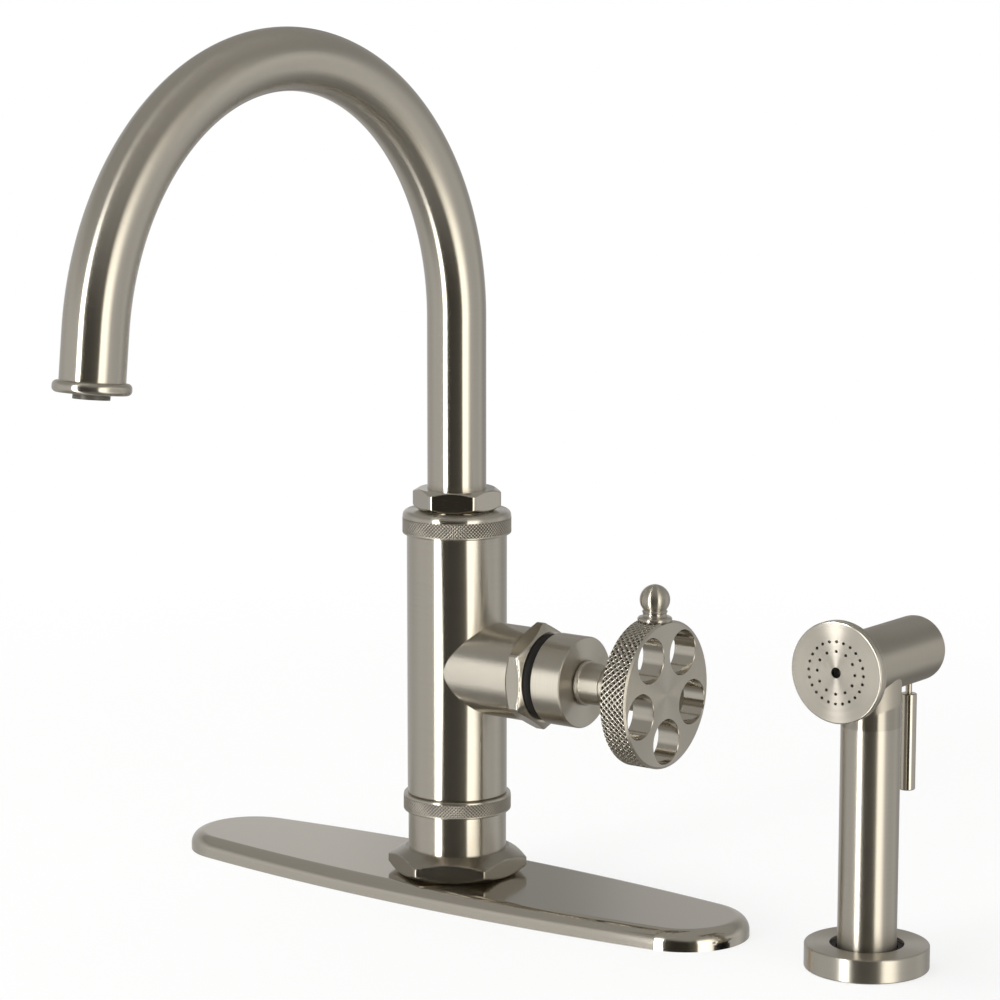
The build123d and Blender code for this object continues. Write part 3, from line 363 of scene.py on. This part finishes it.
def skin(rings, count, closed):
    """Faces over a row of rings with so many points each. The row closes into a loop, or else gets a
    flat cap at each end, which come first."""
    faces = []
    if not closed:
        faces += [tuple(range(count - 1, -1, -1)), tuple(range((rings - 1) * count, rings * count))]
    for ring in range(rings if closed else rings - 1):
        low, high = ring * count, (ring + 1) % rings * count
        for step in range(count):
            after = (step + 1) % count
            faces.append((low + step, low + after, high + after, high + step))
    return faces


def lathe(loop, turns, place, shape=None, closed=True):
    """Points and faces of a loop of (radius, height), in mm, swept round Z through a list of angles.
    The shape gives each point's radius from its radius, height and angle."""
    points = []
    for radius, height in loop:
        for turn in turns:
            reach = shape(radius, height, turn) if shape else radius
            points.append(place @ Vector((reach * cos(turn) * mm, reach * sin(turn) * mm, height * mm)))
    return points, skin(len(loop), len(turns), closed)


def even(count):
    """Evenly spaced angles round a turn."""
    return [2 * pi * step / count for step in range(count)]


def span(start, end, count):
    """Evenly spaced values from start to end."""
    return [start + (end - start) * step / (count - 1) for step in range(count)]


def arc(centre_radius, centre_height, radius, start, end, count):
    """Points on an arc in a turned profile. Angles are in degrees, zero outwards and 90 up."""
    return [(centre_radius + radius * cos(radians(angle)), centre_height + radius * sin(radians(angle)))
            for angle in span(start, end, count)]


def wave(value):
    """A triangle wave: one at whole numbers and zero halfway between."""
    return abs(2 * (value % 1) - 1)


def soft_least(*values, sharpness=7.0):
    """The least value, with the corner between two values rounded. Sharpness is per mm."""
    least = min(values)
    return least - log(sum(exp(-sharpness * (value - least)) for value in values)) / sharpness


# ---- Hexagon nuts ------------------------------------------------------------------------------
def hex_nut(name, flats, low, high, low_land, high_land, inside, turn, corner, place, material):
    """A hexagon nut in mm with rounded corners, cut back at both ends by 30 degree cones, whose
    edges catch the light. Each land is the radius where a cone meets the end. Inside is the bore's
    profile, from the top down. Turn is a corner's angle in degrees, and corner its rounding radius."""
    corner_steps, flat_steps, cone_rows, cone_margin = 13, 14, 16, 0.3
    slope = tan(pi / 6)
    half, inner, far_out = flats / 2, flats / 2 - corner, 99
    blunt = pi / 6 - atan(inner / half * slope)
    sector = span(-blunt, blunt, corner_steps) + span(blunt, pi / 3 - blunt, flat_steps)[1:-1]
    turns = [radians(turn) + pi / 3 * side + step for side in range(6) for step in sector]

    def shape(radius, height, angle):
        if radius < far_out:
            return radius
        lean = abs((angle - radians(turn) + pi / 6) % (pi / 3) - pi / 6)
        if lean >= blunt:
            across = half / cos(pi / 6 - lean)
        else:
            middle = inner / cos(pi / 6)
            across = middle * cos(lean) + sqrt(corner ** 2 - (middle * sin(lean)) ** 2)
        return soft_least(across, high_land + (high - height) / slope, low_land + (height - low) / slope)

    depth = (half / cos(pi / 6) - min(low_land, high_land)) * slope + cone_margin
    rows = span(low, low + depth, cone_rows) + span(high - depth, high, cone_rows)
    loop = [(far_out, height) for height in rows] + inside
    points, faces = lathe(loop, turns, place, shape)
    stand_in(new_piece(name, points, faces, [material]), "faucet", name)


hex_nut("base_hex_flange", 46.2, 7.2, 16.8, 21.9, 19.6,
        [(14.92, 16.8), (14.92, 13.2), (16.02, 13.2), (16.02, 7.2),
         (17.7, 7.2), (17.7, 8.4), (20.3, 8.4), (20.3, 7.2)], 30, 1.6, upright, base_nickel)
hex_nut("spout_hex_nut", 29.44, 146.2, 154.0, 14.3, 14.3,
        [(11.08, 154.0), (11.08, 150.2), (13.42, 150.2), (13.42, 146.2)], 30, 2.4, upright, nut_nickel)
hex_nut("bonnet_hex_nut", 35.2, 35.4, 42.5, 16.9, 16.9,
        [(13.9, 42.5), (13.9, 40.0), (15.02, 40.0), (15.02, 35.4)], 0, 1.6, on_branch, bonnet_nickel)


# ---- Knurled rings -----------------------------------------------------------------------------
def ridges(angle, along, count, pitch, width):
    """Height of a rolled diamond knurl, from zero in its pits to one on its crossing ridges, whose
    flat tops are as wide as the width makes them."""
    around, rise = count * angle / (2 * pi), along / pitch
    return min(1, width * max(wave(around + rise), wave(around - rise)))


def knurled_ring(name, outer, bore, low, band_low, band_high, edges, knurl):
    """A ring in mm with a fine diamond knurl in a band of its side. The edges are its rounded
    profile under the band and over it."""
    # A real knurl of this kind has 0.9 mm diamonds. They are drawn 1.35 mm wide, so that they show.
    count, depth, ridge_width, run_in, steps = 96, 0.42, 1.15, 0.2, 10
    pitch = 2 * pi * outer / count
    rows = span(band_low, band_high, round((band_high - band_low) / pitch * steps))

    def shape(radius, height, angle):
        if radius < outer or not band_low <= height <= band_high:
            return radius
        edge = min(height - band_low, band_high - height, run_in) / run_in
        return radius - depth * edge * (1 - ridges(angle, height - band_low, count, pitch, ridge_width))

    loop = [(bore, low)] + edges[0] + [(outer, height) for height in rows] + edges[1]
    loop.append((bore, edges[1][-1][1]))
    turns = even(count * steps)
    points, faces = lathe(loop, turns, upright, shape)
    first = 1 + len(edges[0])
    slots = [int(first <= row < first + len(rows) - 1) for row in range(len(loop)) for _ in turns]
    piece = new_piece(name, points, faces, [column_nickel, knurl], slots, crease=34)
    stand_in(piece, "faucet", name)


knurled_ring("lower_knurled_ring", 20.3, 15.0, 30.0, 32.0, 37.0,
             ([(18.5, 30.0), (18.5, 31.4)] + arc(19.75, 31.95, 0.55, -90, 0, 6),
              [(20.2, 37.1), (20.2, 37.3)] + arc(19.65, 37.35, 0.55, 0, 90, 6)), lower_knurl)
knurled_ring("upper_knurled_ring", 20.4, 13.42, 135.8, 137.7, 143.3,
             ([(18.75, 135.8), (18.75, 137.1)] + arc(19.85, 137.65, 0.55, -90, 0, 6),
              [(20.3, 143.4), (20.3, 143.7)] + arc(18.3, 143.9, 2.0, 2, 90, 14)), upper_knurl)


# ---- Hand wheel --------------------------------------------------------------------------------
def hand_wheel():
    """The wheel in one mesh: a coarsely knurled rim, a web with five bored holes, flush with the rim
    in front and a little recessed behind, and the flat under the knob's collar."""
    back_face, front_face, outer = 84.0, 95.0, 27.0
    chamfer, chamfer_reach = 0.55, 0.85
    web_back, web_radius = 85.8, 25.8
    count, pitch, depth, ridge_width, run_in = 72, 2.35, 0.75, 1.2, 0.15
    holes, hole_radius, hole_circle, hole_edge = 5, 8.2, 17.3, 0.2
    seat, collar = 26.3, 6.15
    ridge_steps, knurl_rows, hole_steps = 10, 64, 72
    knurl_slot, bore_slot, web_slot = 0, 1, 2
    middle_height = wheel_middle / mm

    def shape(radius, height, angle):
        if radius < outer:
            return radius
        edge = min(height - back_face - chamfer, front_face - chamfer - height)
        pit = depth * (1 - ridges(angle, height - middle_height, count, pitch, ridge_width))
        fall = chamfer_reach / chamfer * max(0, -edge)
        reach = outer - max(fall, pit * min(1, max(0, edge / run_in)))
        across, rise = reach * sin(angle), -reach * cos(angle)
        if rise > seat and across ** 2 + (height - middle_height) ** 2 < collar ** 2:
            reach = -seat / cos(angle)
        return reach

    rows = [back_face] + span(back_face + chamfer, front_face - chamfer, knurl_rows) + [front_face]
    turns = even(count * ridge_steps)
    loop = [(web_radius, web_back), (web_radius, back_face)] + [(outer, row) for row in rows]
    points, faces = lathe(loop, turns, on_branch, shape)
    # The loop stays open towards the web. Its rows are the recess's wall, the back of the rim and its
    # chamfer, then the knurl, and the front chamfer.
    faces = faces[:(len(loop) - 1) * len(turns)]
    row_slots = [web_slot] * 3 + [knurl_slot] * (knurl_rows - 1) + [web_slot]
    slots = [slot for slot in row_slots for _ in turns]

    def hole_ring(radius, height, middle):
        """The indices of a new ring of points round a hole."""
        first = len(points)
        for angle in even(hole_steps):
            points.append(on_branch @ Vector(((middle[0] + radius * cos(angle)) * mm,
                                              (middle[1] + radius * sin(angle)) * mm, height * mm)))
        return list(range(first, len(points)))

    back_loops = [list(range(len(turns)))]
    front_loops = [list(range((len(loop) - 1) * len(turns), len(loop) * len(turns)))]
    for place in even(holes):
        middle = (hole_circle * cos(place), hole_circle * sin(place))
        rings = [hole_ring(hole_radius + out, height, middle)
                 for out, height in ((hole_edge, web_back), (0, web_back + hole_edge),
                                     (0, front_face - hole_edge), (hole_edge, front_face))]
        for low, high in zip(rings, rings[1:]):
            for step in range(hole_steps):
                after = (step + 1) % hole_steps
                faces.append((low[step], high[step], high[after], low[after]))
                slots.append(bore_slot)
        back_loops.append(rings[0])
        front_loops.append(rings[-1])
    for loops, facing in ((back_loops, -1), (front_loops, 1)):
        order = [index for ring in loops for index in ring]
        for triangle in tessellate_polygon([[points[index] for index in ring] for ring in loops]):
            corners = [order[index] for index in triangle]
            a, b, c = (points[index] for index in corners)
            if (b - a).cross(c - a).x * facing < 0:
                corners.reverse()
            faces.append(tuple(corners))
            slots.append(web_slot)
    materials = [wheel_knurl, bored_nickel, branch_nickel]
    wheel = new_piece("hand_wheel", points, faces, materials, slots, crease=28)
    stand_in(wheel, "handle", "hand_wheel")


hand_wheel()

# ---- Handle stem and ball knob: turned pieces with rounded edges -------------------------------
# A tenon inside the hub, a rounded collar, and the stem with one turned groove.
stem = [(4.0, 56.8), (4.0, 59.0)] + arc(7.35, 60.1, 1.05, -85, 70, 14)
stem += [(7.6, 61.35), (7.6, 69.4), (7.45, 69.5), (7.1, 69.6)]
stem += [(7.1, 70.2), (7.45, 70.3), (7.6, 70.4), (7.6, 85.78)]
stand_in(new_piece("handle_stem", *lathe(stem, even(128), on_branch, closed=False), [branch_nickel],
                   crease=34), "handle", "handle_stem")
# A rounded collar, a bead and the ball.
ball_centre, ball_radius = 34.36, 5.5
knob = [(0.3, 26.3)] + arc(5.35, 27.25, 0.95, -90, 90, 14) + arc(5.15, 29.05, 0.85, -90, -175, 8)[1:]
knob += [(4.3, 29.5), (4.5, 29.75), (4.62, 30.05), (4.5, 30.35), (4.25, 30.6)]
knob += arc(0, ball_centre, ball_radius, -41, 89.5, 28)
knob_place = Matrix.Translation((wheel_middle, 0, branch_height))
stand_in(new_piece("ball_knob", *lathe(knob, even(96), knob_place, closed=False), [knob_nickel],
                   crease=34), "handle", "ball_knob")


# ---- Spout tube --------------------------------------------------------------------------------
def spout_tube():
    """The bent tube in mm: a straight riser, an arch and a straight tail, with a map along it."""
    foot, arch_start, arch_radius, sweep, tail = 138.0, 218.0, 96.8, radians(173.5), 19.7
    outer, inner, steps = 11.0, 9.8, 96
    chart_width = 100 * mm
    stations = [(Vector((0, 0, height)), Vector((0, 0, 1))) for height in span(foot, arch_start, 18)[:-1]]
    for angle in span(0, sweep, 121):
        stations.append((Vector((0, arch_radius * (cos(angle) - 1), arch_start + arch_radius * sin(angle))),
                         Vector((0, -sin(angle), cos(angle)))))
    end, heading = stations[-1]
    stations += [(end + heading * far, heading) for far in span(0, tail, 12)[1:]]
    side = Vector((1, 0, 0))
    points, chart, far = [], [], 0.0
    rims = [(outer, station) for station in stations] + [(inner, station) for station in reversed(stations)]
    for index, (radius, (middle, heading)) in enumerate(rims):
        if index:
            far += (middle - rims[index - 1][1][0]).length + abs(radius - rims[index - 1][0])
        for angle in even(steps):
            out = side * cos(angle) + heading.cross(side) * sin(angle)
            points.append((middle + out * radius) * mm)
        chart.append(far * mm)
    # The last row of faces closes the tube's wall at its foot, where the map just runs on.
    chart.append(chart[-1] + mm)
    corners = []
    for low, high in zip(chart, chart[1:]):
        for step in range(steps):
            left, onward = step / steps * chart_width, (step + 1) / steps * chart_width
            corners += [low, left, low, onward, high, onward, high, left]
    faces = skin(len(rims), steps, closed=True)
    tube = new_piece("spout_tube", points, faces, [spout_nickel], crease=34)
    tube.data.uv_layers.new(name="chart").data.foreach_set("uv", corners)
    stand_in(tube, "spout", "spout_tube")


spout_tube()

# ---- Holder's liner: a black bush that fills the ring's bore up to just under its top ----------
liner = [(9.4, -15.0), (11.95, -15.0), (11.95, 3.7), (13.0, 3.7)] + arc(12.7, 7.4, 0.3, 0, 90, 4)
liner += arc(11.15, 7.3, 0.4, 90, 180, 5) + [(10.75, -13.6), (9.4, -13.6)]
stand_in(new_piece("holder_liner", *lathe(liner, even(96), Matrix.Translation(spray_centre)),
                   [black_plastic], crease=40), "faucet", "holder_liner")

# ---- Valve spring ------------------------------------------------------------------------------
def valve_spring():
    """A round wire wound along Y inside the spray head, at one length, against its end on the rear cap."""
    coil, wire, turns, low, high, seat = 3.9, 0.45, 7, 0.1, 20.6, 21.1
    travel, sides, steps = 2.65, 10, 280
    points = []
    for step in range(steps + 1):
        angle = 2 * pi * turns * step / steps
        out = Vector((cos(angle), 0, sin(angle)))
        middle = out * coil + Vector((0, low + (high - low) * step / steps, 0))
        for lean in even(sides):
            section = out * cos(lean) + Vector((0, sin(lean), 0))
            points.append(Vector((spray_centre.x, 0, head_height)) + (middle + section * wire) * mm)
    faces = skin(steps + 1, sides, closed=False)
    spring = new_piece("valve_spring", points, faces, [stainless], crease=40)
    stand_in(spring, "wand", "valve_spring")
    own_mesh(spring)


valve_spring()

# ---- Floor, studio and light -------------------------------------------------------------------
# The grey room that the metal mirrors: dark towards the camera, with a tall light on each side of
# the dark part. Each stop is an angle in degrees from the camera's direction, which grows towards
# the right of the picture, then the brightness and the tint there.
grey, cream, olive, white = (1, 0.995, 0.985), (1, 0.97, 0.9), (1, 0.93, 0.75), (1, 1, 0.98)
room_stops = [
    (-180, 0.50, grey), (-177, 0.60, grey), (-165, 0.52, grey), (-140, 0.46, grey), (-120, 0.48, grey),
    (-95, 0.58, grey), (-65, 0.62, grey), (-52.4, 0.60, grey), (-51.6, 7.0, white), (-39.4, 7.0, white),
    (-38.6, 0.10, olive), (-30, 0.05, olive), (-15, 0.035, olive), (5, 0.04, olive), (16, 0.11, olive),
    (22.2, 0.22, olive), (23.2, 2.4, cream), (42, 2.2, cream), (56, 0.66, grey), (70, 0.54, grey),
    (90, 0.52, grey), (106, 0.57, grey), (118, 0.46, grey), (128, 0.36, grey), (150, 0.38, grey),
    (170, 0.48, grey), (175.5, 0.46, grey), (177.5, 0.28, grey),
]
# The ramps hold up to one, so that they hold shares of the brightest stop and of the highest lift.
brightest, highest_lift = 9.0, 1.5
camera_turn = radians(52.59)
# Degrees above the horizon, as seen square to the nearest wall, and how bright the walls are there.
room_lift = [(-90, 1.15), (-3, 1.15), (14, 1.25), (29, 0.95), (30.2, 0.65), (90, 0.65)]
# The plain ceiling and the plain board under the object: the rise in degrees where each is reached,
# and its brightness. The walls start to fade into them at a share of that rise.
ceiling, board_under = (44, 0.41), (-52, 0.27)
fade_share, plain_tint = 0.45, (1, 0.98, 0.94)


def room_walls(tree, place):
    """The room's colour round the object at a place, as a share of the brightest."""
    turned = add(tree, "ShaderNodeVectorRotate", {"rotation_type": "Z_AXIS"},
                 {"Vector": place, "Angle": camera_turn}).outputs[0]
    split = add(tree, "ShaderNodeSeparateXYZ", {}, {0: turned})
    turn = add(tree, "ShaderNodeMath", {"operation": "ARCTAN2"},
               {0: split.outputs["Y"], 1: split.outputs["X"]}).outputs[0]
    share = add(tree, "ShaderNodeMapRange", {}, {"Value": turn, "From Min": -pi, "From Max": pi}).outputs[0]
    stops = [((angle + 180) / 360, [level * part / brightest for part in tint])
             for angle, level, tint in room_stops]
    return add(tree, "ShaderNodeValToRGB", {}, {"Fac": share}, stops).outputs[0]


def room_light(tree, place):
    """The walls at a place with their lift, and the plain ceiling and board above and below them."""
    level_part = add(tree, "ShaderNodeVectorMath", {"operation": "ABSOLUTE"}, {0: place}).outputs[0]
    split = add(tree, "ShaderNodeSeparateXYZ", {}, {0: level_part})
    square = add(tree, "ShaderNodeMath", {"operation": "MAXIMUM"},
                 {0: split.outputs["X"], 1: split.outputs["Y"]}).outputs[0]
    height = add(tree, "ShaderNodeSeparateXYZ", {}, {0: place}).outputs["Z"]
    rise = add(tree, "ShaderNodeMath", {"operation": "ARCTAN2"}, {0: height, 1: square}).outputs[0]
    rise_share = add(tree, "ShaderNodeMapRange", {},
                     {"Value": rise, "From Min": -pi / 2, "From Max": pi / 2}).outputs[0]
    stops = [((angle + 90) / 180, [level / highest_lift] * 3) for angle, level in room_lift]
    lift = add(tree, "ShaderNodeValToRGB", {}, {"Fac": rise_share}, stops).outputs[0]
    light = add(tree, "ShaderNodeMix", {"data_type": "RGBA", "blend_type": "MULTIPLY"},
                {"Factor": 1.0, 6: room_walls(tree, place), 7: lift}).outputs[2]
    for angle, level in (ceiling, board_under):
        end = radians(angle)
        share = add(tree, "ShaderNodeMapRange", {"interpolation_type": "SMOOTHSTEP"},
                    {"Value": rise, "From Min": end * fade_share, "From Max": end}).outputs[0]
        plain = [level / (brightest * highest_lift) * part for part in plain_tint]
        light = add(tree, "ShaderNodeMix", {"data_type": "RGBA"},
                    {"Factor": share, 6: light, 7: [*plain, 1]}).outputs[2]
    return light


def studio_piece(name, points, faces):
    """A plain mesh in the scene, for the studio round the object."""
    mesh = bpy.data.meshes.new(name)
    mesh.from_pydata(points, [], faces)
    piece = bpy.data.objects.new(name, mesh)
    bpy.context.scene.collection.objects.link(piece)
    return piece


# Matt pale board: a plain floor that keeps the object's soft shadow, and that the camera sees fade
# into the white background with the distance.
reach, drop = 6.0, 0.1 * mm
fade_start, fade_end, near_white = 0.2, 0.7, 0.76
floor = studio_piece("floor", [(-reach, -reach, 0), (reach, -reach, 0), (reach, reach, 0),
                               (-reach, reach, 0)], [(0, 1, 2, 3)])
floor.location.z = -drop
floor.visible_glossy = False
floor_paint, tree, surface = new_material("floor_pale_board")
floor_paint.cycles.emission_sampling = "NONE"
ray = add(tree, "ShaderNodeLightPath")
place = add(tree, "ShaderNodeTexCoord").outputs["Object"]
far = add(tree, "ShaderNodeVectorMath", {"operation": "LENGTH"}, {0: place}).outputs["Value"]
fade = add(tree, "ShaderNodeMapRange", {"interpolation_type": "SMOOTHSTEP"}, {
    "Value": far, "From Min": fade_start, "From Max": fade_end, "To Min": near_white}).outputs[0]
board = add(tree, "ShaderNodeBsdfDiffuse", {}, {"Color": linear("#f2f2f2")}).outputs[0]
glow = add(tree, "ShaderNodeEmission", {}, {"Strength": 1.0}).outputs[0]
seen = add(tree, "ShaderNodeMixShader", {}, {0: fade, 1: board, 2: glow}).outputs[0]
mixed = add(tree, "ShaderNodeMixShader", {},
            {0: ray.outputs["Is Camera Ray"], 1: board, 2: seen}).outputs[0]
tree.links.new(mixed, surface)
floor.data.materials.append(floor_paint)

world = bpy.data.worlds.new("studio")
bpy.context.scene.world = world
world.use_nodes = True
world.node_tree.nodes.clear()
background = add(world.node_tree, "ShaderNodeBackground", {}, {"Color": (1, 1, 1, 1), "Strength": 1.0})
output = add(world.node_tree, "ShaderNodeOutputWorld")
world.node_tree.links.new(background.outputs[0], output.inputs[0])

# A round room with glowing walls, that only the metal's reflections and the soft light show.
rings, sides, room_radius = 24, 48, 4.0
points = [(room_radius * sin(pi * ring / rings) * cos(2 * pi * side / sides),
           room_radius * sin(pi * ring / rings) * sin(2 * pi * side / sides),
           room_radius * cos(pi * ring / rings)) for ring in range(rings + 1) for side in range(sides)]
# Its first and last ring are points, which need no caps.
room = studio_piece("room", points, skin(rings + 1, sides, closed=False)[2:])
room.visible_camera = False
room.visible_shadow = False
room.visible_transmission = False
room_paint, tree, surface = new_material("room_grey_walls")
room_paint.cycles.emission_sampling = "NONE"
place = add(tree, "ShaderNodeTexCoord").outputs["Object"]
glow = add(tree, "ShaderNodeEmission", {},
           {"Color": room_light(tree, place), "Strength": brightest * highest_lift}).outputs[0]
tree.links.new(glow, surface)
room.data.materials.append(room_paint)


def area_lamp(name, width, height, energy, place, target):
    """A rectangular lamp that the camera doesn't see, turned from its place to a target."""
    data = bpy.data.lights.new(name, "AREA")
    data.shape = "RECTANGLE"
    data.size = width
    data.size_y = height
    data.energy = energy
    lamp = bpy.data.objects.new(name, data)
    lamp.location = place
    lamp.rotation_euler = (Vector(target) - lamp.location).to_track_quat("-Z", "Y").to_euler()
    lamp.visible_camera = False
    bpy.context.scene.collection.objects.link(lamp)
    return lamp


# A wide lamp overhead, which the metal doesn't mirror, for the soft shadow on the floor.
softbox = area_lamp("softbox", 1.6, 1.2, 24, (-0.3, -0.4, 1.8), (0, 0, 0.1))
softbox.visible_glossy = False

# A tall narrow lamp in front, for the spray face alone: it draws the upright fans on its turned lines.
face_light = area_lamp("face_light", 0.13, 0.84, 10, (-0.576, -1.279, 0.44),
                       (spray_centre.x, -20 * mm, head_height))
lit_by_fan = bpy.data.collections.new("lit_by_face_light")
lit_by_fan.objects.link(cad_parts["spray_face"])
face_light.light_linking.receiver_collection = lit_by_fan

bpy.context.scene.view_settings.view_transform = "Standard"
